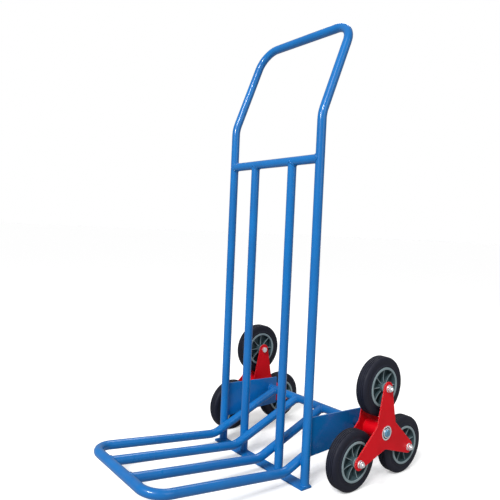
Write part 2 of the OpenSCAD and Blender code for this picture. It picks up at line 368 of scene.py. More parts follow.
class Graph:
    """A node tree with short calls that add nodes and join them."""

    def __init__(self, tree: bpy.types.NodeTree) -> None:
        """Starts from an empty tree.

        Args:
            tree: The material's or the group's node tree.
        """
        self.tree = tree
        tree.nodes.clear()

    def add(self, kind: str, **settings: object) -> bpy.types.Node:
        """Adds a node.

        Args:
            kind: The node's type without its leading "ShaderNode".
            settings: Node properties by name, or input values by socket name with spaces as underscores.

        Returns:
            The new node.
        """
        node = self.tree.nodes.new("ShaderNode" + kind)
        for name, value in settings.items():
            if hasattr(node, name):
                setattr(node, name, value)
            else:
                node.inputs[name.replace("_", " ")].default_value = value
        return node

    def join(self, source: bpy.types.NodeSocket, target: bpy.types.NodeSocket) -> None:
        """Joins an output to an input."""
        self.tree.links.new(source, target)

    def feed(self, target: bpy.types.NodeSocket, value: object) -> None:
        """Gives an input a number, a colour or another node's output."""
        if isinstance(value, bpy.types.NodeSocket):
            self.join(value, target)
        elif isinstance(value, tuple):
            target.default_value = (*value, 1.0)
        else:
            target.default_value = value

    def math(self, operation: str, first: bpy.types.NodeSocket, second: object) -> bpy.types.NodeSocket:
        """Adds a Math node.

        Args:
            operation: The node's operation.
            first: Its first input.
            second: Its second input, a socket or a number.

        Returns:
            Its output.
        """
        node = self.add("Math", operation=operation)
        self.join(first, node.inputs[0])
        self.feed(node.inputs[1], second)
        return node.outputs[0]

    def ramp(
        self, value: bpy.types.NodeSocket, low: float, high: float, start: float, end: float
    ) -> bpy.types.NodeSocket:
        """Maps a value between two levels to a number between low and high.

        Args:
            value: The value to map.
            low: Result at start.
            high: Result at end.
            start: Value that gives low.
            end: Value that gives high.

        Returns:
            The mapped value.
        """
        levels = {"From_Min": start, "From_Max": end, "To_Min": low, "To_Max": high}
        node = self.add("MapRange", interpolation_type="SMOOTHSTEP", **levels)
        self.join(value, node.inputs["Value"])
        return node.outputs["Result"]

    def blend(self, mask: bpy.types.NodeSocket, first: object, second: object) -> bpy.types.NodeSocket:
        """Mixes two colours by a mask.

        Args:
            mask: 0 for the first colour and 1 for the second.
            first: A colour or a colour socket.
            second: A colour or a colour socket.

        Returns:
            The mixed colour.
        """
        node = self.add("Mix", data_type="RGBA")
        # A Mix node lists its factors first, then its number, vector and colour pairs.
        self.join(mask, node.inputs[0])
        self.feed(node.inputs[6], first)
        self.feed(node.inputs[7], second)
        return node.outputs[2]


class Group(Graph):
    """A shader group with number inputs, a Scale among them, and one output."""

    def __init__(self, name: str, inputs: dict[str, float], output: str) -> None:
        """Makes the group and its sockets.

        Args:
            name: The group's name.
            inputs: Each input's name and default.
            output: The output's name.
        """
        super().__init__(bpy.data.node_groups.new(name, "ShaderNodeTree"))
        for label, value in inputs.items():
            socket = self.tree.interface.new_socket(label, in_out="INPUT", socket_type="NodeSocketFloat")
            socket.default_value = value
        self.tree.interface.new_socket(output, in_out="OUTPUT", socket_type="NodeSocketFloat")
        self.given = self.tree.nodes.new("NodeGroupInput").outputs
        self.result = self.tree.nodes.new("NodeGroupOutput").inputs[output]

    def noise(self, **settings: float) -> bpy.types.Node:
        """Adds a noise over the piece's own space, at the group's Scale."""
        where = self.add("TexCoord")
        noise = self.add("TexNoise", **settings)
        self.join(where.outputs["Object"], noise.inputs["Vector"])
        self.join(self.given["Scale"], noise.inputs["Scale"])
        return noise

    def finish(self, value: bpy.types.NodeSocket) -> bpy.types.NodeTree:
        """Puts a value out and returns the finished group."""
        self.join(value, self.result)
        return self.tree


class Effects:
    """The shader groups that several finishes share, each built once."""

    def __init__(self) -> None:
        """Builds every group."""
        self.mottle = self._mottle()
        self.edges = self._edges()
        self.grain = self._grain()
        self.dust = self._dust()

    @staticmethod
    def _mottle() -> bpy.types.NodeTree:
        """Builds broad patches, for slow changes of colour and gloss."""
        group = Group("broad_mottle", {"Scale": 9.0, "Breakup": 0.55}, "Mask")
        noise = group.noise(Detail=4.0)
        group.join(group.given["Breakup"], noise.inputs["Roughness"])
        return group.finish(group.ramp(noise.outputs[0], 0.0, 1.0, 0.34, 0.66))

    @staticmethod
    def _edges() -> bpy.types.NodeTree:
        """Builds a mask of outer and inner edges, broken up by a fine noise; it lightens edges both as wear
        and as a painted highlight.
        """
        group = Group("edge_wear_and_highlight", {"Radius": 1.2 * MM, "Scale": 320.0}, "Mask")
        soft = group.add("Bevel", samples=4)
        group.join(group.given["Radius"], soft.inputs["Radius"])
        true = group.add("NewGeometry")
        dot = group.add("VectorMath", operation="DOT_PRODUCT")
        group.join(soft.outputs[0], dot.inputs[0])
        group.join(true.outputs["Normal"], dot.inputs[1])
        turn = group.ramp(dot.outputs["Value"], 1.0, 0.0, 0.80, 0.985)
        noise = group.noise(Detail=3.0, Roughness=0.6)
        broken = group.ramp(noise.outputs[0], 0.25, 1.0, 0.38, 0.6)
        return group.finish(group.math("MULTIPLY", turn, broken))

    @staticmethod
    def _grain() -> bpy.types.NodeTree:
        """Builds a fine surface height, for orange peel, moulding grain and rubber."""
        group = Group("fine_grain", {"Scale": 700.0, "Fineness": 0.5}, "Height")
        noise = group.noise(Detail=3.0)
        group.join(group.given["Fineness"], noise.inputs["Roughness"])
        return group.finish(noise.outputs[0])

    @staticmethod
    def _dust() -> bpy.types.NodeTree:
        """Builds a thin dust mask on faces that look up."""
        group = Group("thin_dust", {"Amount": 0.2, "Scale": 60.0}, "Mask")
        true = group.add("NewGeometry")
        split = group.add("SeparateXYZ")
        group.join(true.outputs["Normal"], split.inputs[0])
        up = group.ramp(split.outputs["Z"], 0.0, 1.0, 0.2, 0.95)
        noise = group.noise(Detail=5.0, Roughness=0.65)
        patchy = group.ramp(noise.outputs[0], 0.0, 1.0, 0.35, 0.75)
        dusty = group.math("MULTIPLY", up, patchy)
        return group.finish(group.math("MULTIPLY", dusty, group.given["Amount"]))


@dataclass(frozen=True)
class Use:
    """A shared effect placed in a material, with the values it gets there."""

    group: bpy.types.NodeTree
    values: dict[str, float]

    def put(self, graph: Graph) -> bpy.types.NodeSocket:
        """Adds the effect to a graph and returns its one output."""
        node = graph.tree.nodes.new("ShaderNodeGroup")
        node.node_tree = self.group
        for name, value in self.values.items():
            node.inputs[name].default_value = value
        return node.outputs[0]


@dataclass(frozen=True)
class Finish:
    """A finish: two close shades, lighter edges for both wear and a painted highlight, a range of roughness
    and a fine relief.
    """

    name: str
    shade: Colour
    other_shade: Colour
    # The edges' lighter colour: partly wear, partly a painted highlight.
    edge_shade: Colour
    roughness: tuple[float, float]
    mottle_scale: float = 9.0
    edge_radius: float = 1.0 * MM
    edge_share: float = 0.5
    grain_scale: float = 700.0
    grain_depth: float = 0.03 * MM
    dust: float = 0.0
    dust_shade: Colour = (0.5, 0.48, 0.45)
    metallic: float = 0.0
    specular: float = 0.5
    coat: float = 0.0
    coat_roughness: float = 0.1

    def make(self, effects: Effects) -> bpy.types.Material:
        """Builds the finish's material.

        Args:
            effects: The shared shader groups.

        Returns:
            The material.
        """
        material = bpy.data.materials.new(self.name)
        material.use_nodes = True
        graph = Graph(material.node_tree)
        surface = graph.add("BsdfPrincipled")
        output = graph.add("OutputMaterial")
        graph.join(surface.outputs[0], output.inputs["Surface"])
        patches = Use(effects.mottle, {"Scale": self.mottle_scale}).put(graph)
        worn_and_lit = Use(effects.edges, {"Radius": self.edge_radius}).put(graph)
        edges = graph.math("MULTIPLY", worn_and_lit, self.edge_share)
        colour = graph.blend(patches, self.shade, self.other_shade)
        # Edges turn to the edge shade: partly wear, partly a painted highlight.
        colour = graph.blend(edges, colour, self.edge_shade)
        if self.dust > 0:
            dust = Use(effects.dust, {"Amount": self.dust}).put(graph)
            colour = graph.blend(dust, colour, self.dust_shade)
        colour = self.decorate(graph, colour)
        graph.join(colour, surface.inputs["Base Color"])
        graph.join(graph.ramp(patches, *self.roughness, 0.0, 1.0), surface.inputs["Roughness"])
        bump = graph.add("Bump", Strength=1.0, Distance=self.grain_depth)
        graph.join(self.relief(graph, effects), bump.inputs["Height"])
        graph.join(bump.outputs[0], surface.inputs["Normal"])
        surface.inputs["Metallic"].default_value = self.metallic
        surface.inputs["Specular IOR Level"].default_value = self.specular
        surface.inputs["Coat Weight"].default_value = self.coat
        surface.inputs["Coat Roughness"].default_value = self.coat_roughness
        return material

    def relief(self, graph: Graph, effects: Effects) -> bpy.types.NodeSocket:
        """Returns the height of the surface's fine relief."""
        return Use(effects.grain, {"Scale": self.grain_scale}).put(graph)

    def decorate(self, graph: Graph, colour: bpy.types.NodeSocket) -> bpy.types.NodeSocket:
        """Returns the colour as it is; finishes with a pattern of their own change it."""
        return colour


@dataclass(frozen=True)
class SolidRubber(Finish):
    """Moulded rubber: fine rings round the wheel from the mould, and a lighter, greyer painted sheen along
    them.
    """

    ring_scale: float = 260.0
    ring_depth: float = 0.45
    side_pull: float = 0.7
    # The lighter grey along the rings is a painted sheen.
    bloom: Colour = (0.020, 0.024, 0.042)
    bloom_share: float = 0.25

    def _rings(self, graph: Graph) -> bpy.types.NodeSocket:
        """Returns fine rings round the wheel's own axis, from 0 to 1."""
        where = graph.add("TexCoord")
        split = graph.add("SeparateXYZ")
        graph.join(where.outputs["Object"], split.inputs[0])
        across, up = (graph.math("POWER", split.outputs[axis], 2.0) for axis in ("Y", "Z"))
        radius = graph.math("SQRT", graph.math("ADD", across, up), 0.0)
        along = graph.math("MULTIPLY", graph.math("ABSOLUTE", split.outputs["X"], 0.0), self.side_pull)
        turns = graph.math("MULTIPLY", graph.math("SUBTRACT", radius, along), self.ring_scale * math.tau)
        wave = graph.math("SINE", turns, 0.0)
        return graph.ramp(wave, 0.0, 1.0, -1.0, 1.0)

    def relief(self, graph: Graph, effects: Effects) -> bpy.types.NodeSocket:
        """Returns the rubber's grain with the mould's rings added to it."""
        grain = Use(effects.grain, {"Scale": self.grain_scale}).put(graph)
        return graph.math("ADD", grain, graph.math("MULTIPLY", self._rings(graph), self.ring_depth))

    def decorate(self, graph: Graph, colour: bpy.types.NodeSocket) -> bpy.types.NodeSocket:
        """Returns the colour with a faint painted sheen along the rings."""
        return graph.blend(graph.math("MULTIPLY", self._rings(graph), self.bloom_share), colour, self.bloom)


class Paintbox:
    """All the truck's finishes, ready to use."""

    def __init__(self) -> None:
        """Builds the shared effects and every material."""
        effects = Effects()
        self.blue = Finish(
            "blue_powder_coat", (0.004, 0.166, 0.500), (0.002, 0.136, 0.430), (0.05, 0.31, 0.74),
            (0.24, 0.34),
            mottle_scale=6.0, edge_radius=1.1 * MM, edge_share=0.45, grain_scale=480.0,
            grain_depth=0.035 * MM, dust=0.03, specular=0.30, coat=0.40, coat_roughness=0.05,
        ).make(effects)
        # The red's pale pink edge shade, strong here, is a painted highlight along the plates' edges.
        self.red = Finish(
            "red_powder_coat", (0.740, 0.003, 0.012), (0.650, 0.002, 0.009), (1.0, 0.50, 0.47),
            (0.28, 0.38),
            mottle_scale=14.0, edge_radius=0.9 * MM, edge_share=0.9, grain_scale=520.0,
            grain_depth=0.03 * MM, specular=0.10, coat=0.02, coat_roughness=0.08,
        ).make(effects)
        self.zinc = Finish(
            "bright_zinc", (0.96, 0.97, 0.99), (0.86, 0.88, 0.92), (1.0, 1.0, 1.0),
            (0.14, 0.30),
            mottle_scale=160.0, edge_radius=0.5 * MM, edge_share=0.6, grain_scale=1500.0,
            grain_depth=0.012 * MM, metallic=0.82,
        ).make(effects)
        self.axle_steel = Finish(
            "blued_axle_steel", (0.15, 0.34, 0.50), (0.10, 0.26, 0.41), (0.40, 0.58, 0.68),
            (0.22, 0.38),
            mottle_scale=90.0, edge_radius=0.8 * MM, edge_share=0.6, grain_scale=1400.0,
            grain_depth=0.015 * MM, metallic=0.45,
        ).make(effects)
        # Near-black: the hub bushes' own nylon, and painted shade in the axle washers' grooves.
        self.nylon_and_shade = Finish(
            "nylon_and_painted_shade", (0.008, 0.009, 0.011), (0.014, 0.015, 0.018), (0.03, 0.03, 0.035),
            (0.40, 0.60),
            mottle_scale=120.0, edge_radius=0.6 * MM, grain_scale=900.0, specular=0.2,
        ).make(effects)
        # Dark blue sleeve, darkened as painted shade for the gap between side plate and star.
        self.sleeve = Finish(
            "sleeve_blue_painted_shade", (0.006, 0.028, 0.095), (0.010, 0.036, 0.115), (0.03, 0.09, 0.22),
            (0.46, 0.62),
            mottle_scale=40.0, edge_radius=0.8 * MM, specular=0.15,
        ).make(effects)
        self.rubber = SolidRubber(
            "solid_rubber", (0.0075, 0.0085, 0.0180), (0.0100, 0.0110, 0.0220), (0.045, 0.050, 0.070),
            (0.50, 0.64),
            mottle_scale=26.0, edge_radius=0.9 * MM, edge_share=0.7, grain_scale=1100.0,
            grain_depth=0.05 * MM, dust=0.03, specular=0.26,
        ).make(effects)
        self.rim = Finish(
            "grey_rim", (0.265, 0.345, 0.370), (0.220, 0.295, 0.320), (0.40, 0.49, 0.51),
            (0.40, 0.52),
            mottle_scale=38.0, edge_radius=0.8 * MM, grain_scale=1300.0, grain_depth=0.02 * MM,
            dust=0.03, specular=0.3,
        ).make(effects)
        # Darker teal for the rim's web and rib walls: painted shade in the deep recess.
        self.recess = Finish(
            "rim_recess_painted_shade", (0.046, 0.084, 0.098), (0.062, 0.104, 0.118), (0.10, 0.16, 0.17),
            (0.46, 0.60),
            mottle_scale=46.0, edge_radius=0.8 * MM, edge_share=0.2, grain_scale=1300.0,
            grain_depth=0.03 * MM, specular=0.25,
        ).make(effects)


# ---- Frame ----


@dataclass
class Trim:
    """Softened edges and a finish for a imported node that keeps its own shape."""

    width: float = 0.0
    segments: int = 3
    weld: float = 0.002 * MM
    flat_angle: float = 0.5
    edge_angle: float = 40.0

    def dress(self, node: str, finish: bpy.types.Material) -> None:
        """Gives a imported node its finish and, where a width is set, rounds its sharp edges.

        Args:
            node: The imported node's name.
            finish: Its material.
        """
        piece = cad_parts[node]
        piece.data.materials.clear()
        piece.data.materials.append(finish)
        if self.width > 0:
            joined = piece.modifiers.new("joined", "WELD")
            joined.merge_threshold = self.weld
            flat = piece.modifiers.new("flat", "DECIMATE")
            flat.decimate_type = "DISSOLVE"
            flat.angle_limit = math.radians(self.flat_angle)
            soft = piece.modifiers.new("softened", "BEVEL")
            soft.width = self.width
            soft.segments = self.segments
            soft.limit_method = "ANGLE"
            soft.angle_limit = math.radians(self.edge_angle)
            soft.harden_normals = True
            soft.use_clamp_overlap = True
        LOG.info("%s: dressed in %s", node, finish.name)


@dataclass
class Bead:
    """A weld bead: a round run of paint-covered metal with the ripples that the welder leaves."""

    radius: float = 2.6 * MM
    ripple: float = 0.13
    pitch: float = 2.4 * MM
    step: float = 0.6 * MM
    end_share: float = 0.25

    def along(self, name: str, points: Sequence[Vector], closed: bool) -> bpy.types.Mesh:
        """Lays a bead along a route.

        Args:
            name: Name for the mesh.
            points: The route, close enough together for its curves.
            closed: Whether the route joins back to its start.

        Returns:
            The bead's mesh.
        """
        route = [*points, points[0]] if closed else list(points)
        lengths = [0.0]
        for here, there in zip(route, route[1:]):
            lengths.append(lengths[-1] + (there - here).length)
        total = lengths[-1]
        count = max(8, round(total / self.step))
        stops = [total * i / count for i in range(count if closed else count + 1)]
        ripples = max(2, round(total / self.pitch))
        path, radii, leg = [], [], 0
        for at in stops:
            while leg < len(route) - 2 and lengths[leg + 1] < at:
                leg += 1
            share = (at - lengths[leg]) / max(lengths[leg + 1] - lengths[leg], 1e-9)
            path.append(route[leg].lerp(route[leg + 1], share))
            from_end = min(at, total - at) / self.radius
            end = 1.0 if closed else min(1.0, from_end * (1 - self.end_share) + self.end_share)
            radii.append(self.radius * end * (1 + self.ripple * math.sin(math.tau * ripples * at / total)))
        return swept(name, path, radii, closed)


def meeting(
    start: Vector, direction: Vector, radius: float, across: Vector, onto: Vector, steps: int = 56
) -> list[Vector]:
    """Finds the line where a tube's surface runs into another tube of the same thickness.

    Args:
        start: A point on the tube's centreline, away from the other tube.
        direction: Which way the tube runs from there to the other, as a unit vector.
        radius: The radius of both tubes.
        across: A point on the other tube's centreline.
        onto: The other tube's direction, as a unit vector.
        steps: Number of points round the tube.

    Returns:
        The closed line, as points.
    """
    side = direction.cross(onto).normalized()
    up = side.cross(direction)
    line = []
    for a_side, a_up in circle(1.0, steps):
        point = start + (side * a_side + up * a_up) * radius
        gap = (point - across) - onto * (point - across).dot(onto)
        run = direction - onto * direction.dot(onto)
        a, b, c = run.length_squared, 2 * gap.dot(run), gap.length_squared - radius**2
        root = math.sqrt(max(b * b - 4 * a * c, 0.0))
        line.append(point + direction * ((-b - root) / (2 * a)))
    return line


@dataclass
class Welds:
    """The weld beads that join the frame's tubes and plates."""

    blue: bpy.types.Material
    knee_y: float = 54.0 * MM
    knee_h: float = 42.0 * MM
    nip: float = 1.2 * MM
    steps: int = 48
    crossing_steps: int = 40
    plate_end: float = 2.0 * MM
    plate_gap: float = 0.6 * MM
    bead: Bead = field(default_factory=Bead)
    thin: Bead = field(default_factory=lambda: Bead(radius=1.9 * MM, pitch=2.0 * MM, step=0.5 * MM))

    def __post_init__(self) -> None:
        """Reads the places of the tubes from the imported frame."""
        self.tube_r = extent("inner_upright_right").x / 2
        self.inner_x = middle("inner_upright_right").x
        self.upright_x = middle("side_plate_right").x
        self.bar_x = middle("toe_bar_right").x
        self.crossbar_h = middle("upper_crossbar").z
        self.foot_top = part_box("foot_bar")[1].z
        axle = middle("axle_tube")
        self.axle_y, self.axle_h = axle.y, axle.z
        low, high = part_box("toe_loop")
        self.toe_y = low.y + self.tube_r
        self.loop_x = high.x - self.tube_r
        front = [v.co.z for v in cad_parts["toe_loop"].data.vertices if v.co.y < low.y + 2 * self.tube_r]
        self.toe_h = (min(front) + max(front)) / 2

    def build(self) -> None:
        """Lays every bead on the frame."""
        for side in Side:
            self._at_crossbar(side)
            self._at_foot(side)
            self._at_axle(side)
            self._at_crossings(side)
            self._at_plate(side)

    def _lay(
        self, name: str, points: Sequence[Vector], closed: bool = True, bead: Bead | None = None
    ) -> None:
        """Makes one bead and joins it to the frame.

        Args:
            name: The piece's name.
            points: Its route.
            closed: Whether the route is a loop.
            bead: The kind of bead; the ordinary one when left out.
        """
        mesh = shaded((bead or self.bead).along(name, points, closed), 80.0)
        Piece(name, "frame", "frame_blue", (self.blue,)).place(mesh)

    def _at_crossbar(self, side: Side) -> None:
        """Joins the crossbar to an outer upright and an inner upright to the crossbar."""
        x = side.value * self.upright_x
        across = Vector((side.value, 0, 0))
        up = Vector((0, 0, 1))
        start = Vector((0, 0, self.crossbar_h))
        line = meeting(start, across, self.tube_r, Vector((x, 0, 0)), up)
        self._lay(f"weld_crossbar_{side.tag}", line)
        start = Vector((side.value * self.inner_x, 0, self.crossbar_h / 2))
        bar = Vector((0, 0, self.crossbar_h))
        self._lay(f"weld_inner_top_{side.tag}", meeting(start, up, self.tube_r, bar, across))

    def _at_foot(self, side: Side) -> None:
        """Joins the uprights to the foot bar."""
        h = self.foot_top + 0.3 * MM
        for label, x in (("outer", self.upright_x), ("inner", self.inner_x)):
            ring = [Vector((side.value * x + a, b, h)) for a, b in circle(self.tube_r, self.steps)]
            self._lay(f"weld_foot_{label}_{side.tag}", ring, bead=self.thin)

    def _strut(self) -> Vector:
        """Returns the direction of the struts, up from the knee to the axle."""
        return Vector((0, self.axle_y + self.knee_y, self.axle_h - self.knee_h)).normalized()

    def _at_axle(self, side: Side) -> None:
        """Joins the struts to the axle tube and the toe bars to the front bar."""
        across = Vector((1, 0, 0))
        axle = Vector((0, self.axle_y, self.axle_h))
        for label, x in (("loop", self.loop_x), ("bar", self.bar_x)):
            start = Vector((side.value * x, -self.knee_y, self.knee_h))
            line = meeting(start, self._strut(), self.tube_r, axle, across)
            self._lay(f"weld_strut_{label}_{side.tag}", line)
        knee = Vector((side.value * self.bar_x, -self.knee_y, self.knee_h))
        tip = Vector((side.value * self.bar_x, self.toe_y, self.toe_h))
        line = meeting(knee, (tip - knee).normalized(), self.tube_r, tip, across)
        self._lay(f"weld_toe_bar_{side.tag}", line)

    def _at_crossings(self, side: Side) -> None:
        """Joins the toe tubes to the uprights that they pass side to side."""
        strut = self._strut()
        at_h = self.knee_h + self.knee_y * strut.z / strut.y
        reach = math.sqrt(2 * self.tube_r * self.nip)
        for label, x in (("loop", self.upright_x), ("bar", self.inner_x)):
            ring = []
            # An oval round the touching point, skewed to follow the slope of the strut.
            for y, w in circle(reach, self.crossing_steps):
                z = (w + y * strut.z) / strut.y
                ring.append(Vector((side.value * (x - self.tube_r), y, at_h + z)))
            self._lay(f"weld_crossing_{label}_{side.tag}", ring, bead=self.thin)

    def _at_plate(self, side: Side) -> None:
        """Joins a side plate to its upright and to the end of the axle tube."""
        node = f"side_plate_{side.tag}"
        low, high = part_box(node)
        front = [v.co.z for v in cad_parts[node].data.vertices if v.co.y < low.y + 1 * MM]
        heights = (min(front) + self.plate_end, middle(node).z, max(front) - self.plate_end)
        for label, x in (("out", high.x), ("in", low.x)):
            points = [Vector((x, low.y - self.plate_gap, z)) for z in heights]
            self._lay(f"weld_plate_{label}_{side.tag}", points, closed=False, bead=self.thin)
        x = side.value * (self.upright_x - extent(node).x / 2)
        ring = [Vector((x, self.axle_y + a, self.axle_h + b)) for a, b in circle(self.tube_r, self.steps)]
        self._lay(f"weld_axle_end_{side.tag}", ring)


@dataclass
class WeldedFrame:
    """The blue tube frame: its packed tubes and plates get their finish here."""

    paint: Paintbox
    tubes: tuple[str, ...] = (
        "main_tube", "upper_crossbar", "inner_upright_left", "inner_upright_right", "toe_loop",
        "toe_bar_left", "toe_bar_right", "axle_tube",
    )
    sleeves: tuple[str, ...] = ("axle_sleeve_left", "axle_sleeve_right")
    plates: tuple[str, ...] = ("foot_bar", "side_plate_left", "side_plate_right")
    plate_edge: float = 0.8 * MM

    def dress(self) -> None:
        """Paints the tubes and plates and softens the plates' edges."""
        for node in self.tubes:
            Trim().dress(node, self.paint.blue)
        # The axle sleeves get the darkened blue: painted shade.
        for node in self.sleeves:
            Trim().dress(node, self.paint.sleeve)
        for node in self.plates:
            Trim(self.plate_edge).dress(node, self.paint.blue)


# ---- Fasteners ----


@dataclass
class Hexagon:
    """The radius of a hexagon with chamfered corners, as a nut or a bolt head has them."""

    across_flats: float
    chamfer: float = 0.55
    face_share: float = 0.965

    def radius(self, angle: float, inset: float) -> float:
        """Returns the radius at an angle.

        Args:
            angle: Angle round the axis.
            inset: Distance in from the nearer face.

        Returns:
            The flats' radius, cut by a cone near the face.
        """
        sixth = math.tau / 6
        flat = self.across_flats / 2
        corner = flat / math.cos((angle % sixth) - sixth / 2)
        cone = flat * self.face_share + inset / self.chamfer
        return min(corner, cone)


@dataclass
class Fasteners:
    """The bolts, nuts and washers that hold one side's three wheels."""

    side: Side
    paint: Paintbox
    thread_pitch: float = 1.5 * MM
    thread_depth: float = 0.45 * MM
    dish_share: float = 0.38
    collar_share: float = 0.44
    collar_from: float = 0.72
    point_share: float = 0.72
    segments: int = 96

    def __post_init__(self) -> None:
        """Reads the fasteners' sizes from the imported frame."""
        tag = self.side.tag
        self.axis = middle(f"hub_tube_{tag}")
        arm = middle(f"wheel_bush_{tag}_top")
        self.reach = arm.z - self.axis.z
        self.bolt_x = self._span(f"wheel_bolts_{tag}")
        self.nut_x = self._span(f"wheel_nuts_{tag}")
        self.washer_x = self._span(f"bolt_washers_{tag}")
        self.plate_x = self._span(f"star_inner_{tag}")[0]
        self.bolt_r = self._least_radius(f"wheel_nuts_{tag}")
        self.across_flats = self._flats(f"wheel_nuts_{tag}")
        self.washer_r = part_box(f"bolt_washers_{tag}")[1].z - self.axis.z - self.reach

    @staticmethod
    def _span(node: str) -> list[float]:
        """Returns how far a node's inner and outer ends are from the truck's middle."""
        return sorted(abs(corner.x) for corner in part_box(node))

    def _top_points(self, node: str) -> list[Vector]:
        """Returns the points of a node's top copy, from the top bolt's axis, with X dropped."""
        centre = Vector((0, self.axis.y, self.axis.z + self.reach))
        limit = self.reach / 2
        found = []
        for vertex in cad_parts[node].data.vertices:
            offset = Vector((0, vertex.co.y, vertex.co.z)) - centre
            if offset.length < limit:
                found.append(offset)
        return found

    def _least_radius(self, node: str) -> float:
        """Returns the radius of the bore in a node's top copy."""
        return min(p.length for p in self._top_points(node))

    def _flats(self, node: str) -> float:
        """Returns the size across the flats of a hexagon in a node's top copy."""
        return 2 * max(p.length for p in self._top_points(node)) * math.cos(math.pi / 6)

    def _places(self) -> list[Matrix]:
        """Returns where the three bolts' axes are, each turned with its arm."""
        places = []
        for arm in Arm:
            turn = Matrix.Rotation(-math.radians(arm.value), 4, "X")
            hub, out = Matrix.Translation((0, *self.axis.yz)), Matrix.Translation((0, 0, self.reach))
            places.append(Matrix.Scale(self.side.value, 4, (1, 0, 0)) @ (hub @ turn @ out))
        return places

    def build(self) -> None:
        """Builds the bolts, the nuts and the washers."""
        tag = self.side.tag
        body = f"star_{tag}"
        zinc = (self.paint.zinc,)
        for name, node, mesh in (
            (f"hex_bolts_{tag}", f"wheel_bolts_{tag}", self._bolt()),
            (f"lock_nuts_{tag}", f"wheel_nuts_{tag}", self._nut()),
            (f"flat_washers_{tag}", f"bolt_washers_{tag}", self._washer()),
        ):
            whole = shaded(gathered(name, mesh, self._places()), 28.0)
            Piece(name, body, "zinc", zinc, (node,)).place(whole)

    def _bolt(self) -> bpy.types.Mesh:
        """Returns a hexagon bolt with a chamfered head and a threaded end."""
        head_in, tip = self.bolt_x
        head_out = self.plate_x
        hexagon = Hexagon(self.across_flats)
        thread_from = self.nut_x[0]
        stations: list[tuple[float, float | None]] = []
        for share in (self.dish_share, self.collar_share):
            stations.append((head_in, self.across_flats * share))
        for t in (0.0, 0.06, 0.12, 0.18, 0.24, 0.3, 1.0):
            stations.append((head_in + (head_out - head_in) * t, None))
        stations += [(head_out, self.bolt_r), (thread_from, self.bolt_r)]
        steps = round((tip - thread_from) / self.thread_pitch * 10)
        for k in range(1, steps + 1):
            stations.append((thread_from + (tip - thread_from) * k / steps, self.bolt_r))
        stations.append((tip, self.bolt_r * self.point_share))

        def shape(along: float, radius: float | None, angle: float) -> float:
            """Gives the radius: the head's hexagon where the plain one is None, the shank or the thread."""
            if radius is None:
                return hexagon.radius(angle, along - head_in)
            if along < thread_from:
                return radius
            turn = (along / self.thread_pitch + angle / math.tau) % 1.0
            ridge = 1 - abs(2 * turn - 1)
            end = min(1.0, (tip - along) / (0.6 * self.thread_pitch) + 0.55)
            return radius * (1 - self.thread_depth / self.bolt_r * (1 - ridge)) * (0.8 + 0.2 * end)

        return rod("hex_bolt", stations, shape, self.segments)

    def _nut(self) -> bpy.types.Mesh:
        """Returns a lock nut: a chamfered hexagon with a low round collar outside."""
        low, high = self.nut_x
        hexagon = Hexagon(self.across_flats)
        collar = low + (high - low) * self.collar_from
        collar_r = self.across_flats * self.collar_share
        lip, fillet = 0.8 * MM, 0.2 * MM
        bore = self.bolt_r + 0.02 * MM
        rings = []
        for k in range(self.segments):
            angle = math.tau * k / self.segments
            section = [(low, bore)]
            for t in (0.0, 0.08, 0.16, 0.24, 0.76, 0.84, 0.92, 1.0):
                along = low + (collar - low) * t
                section.append((along, hexagon.radius(angle, min(along - low, collar - along))))
            section += [(collar, collar_r), (high - lip, collar_r), (high - fillet, collar_r - 0.5 * MM)]
            section += [(high, collar_r - 1.2 * MM), (high, bore + lip), (high - lip, bore)]
            rings.append([Vector((x, r * math.cos(angle), r * math.sin(angle))) for x, r in section])
        return loft("lock_nut", rings, closed=True)

    def _washer(self) -> bpy.types.Mesh:
        """Returns a flat washer with rounded rims."""
        low, high = self.washer_x
        bore = self.bolt_r + 0.05 * MM
        corners = [(low, bore), (high, bore), (high, self.washer_r), (low, self.washer_r)]
        return turned("flat_washer", rounded(corners, 0.45 * MM), 72)


# ---- Axle ends ----


